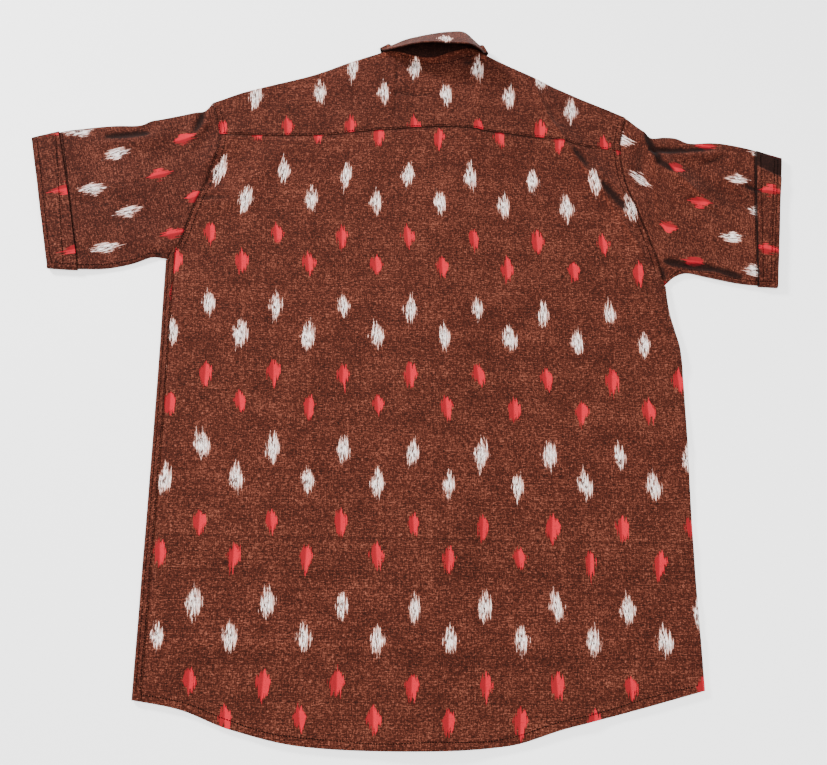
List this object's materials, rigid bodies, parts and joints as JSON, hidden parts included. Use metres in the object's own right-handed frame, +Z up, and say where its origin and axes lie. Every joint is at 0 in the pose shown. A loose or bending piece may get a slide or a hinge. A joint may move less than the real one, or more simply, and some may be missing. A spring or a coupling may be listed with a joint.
{
  "type": "ikat shirt",
  "caption": "Short-sleeved collared shirt in brown ikat cotton, buttoned up the front and laid flat with its yoked back up.",
  "frame": {"origin": "centre of the laid-out shirt's outline, on the surface that it lies on", "axes": "+X across the shirt towards the wearer's right sleeve, +Y from the hem towards the collar, +Z up, away from the surface"},
  "size_m": [0.8422, 0.7873, 0.0403],
  "materials": {
    "ikat_cotton": "matte handloom weave with white and red ikat lozenges",
    "buttons": "satin dark brown"
  },
  "bodies": {
    "root": {"back": "ikat_cotton", "yoke": "ikat_cotton", "front_left": "ikat_cotton", "front_right": "ikat_cotton", "collar_stand": "ikat_cotton", "collar_leaf": "ikat_cotton", "sleeve_left": "ikat_cotton", "cuff_left": "ikat_cotton", "sleeve_right": "ikat_cotton", "cuff_right": "ikat_cotton", "button_1": "buttons", "button_2": "buttons", "button_3": "buttons", "button_4": "buttons", "button_5": "buttons", "button_6": "buttons", "button_collar": "buttons"}
  },
  "joints": []
}
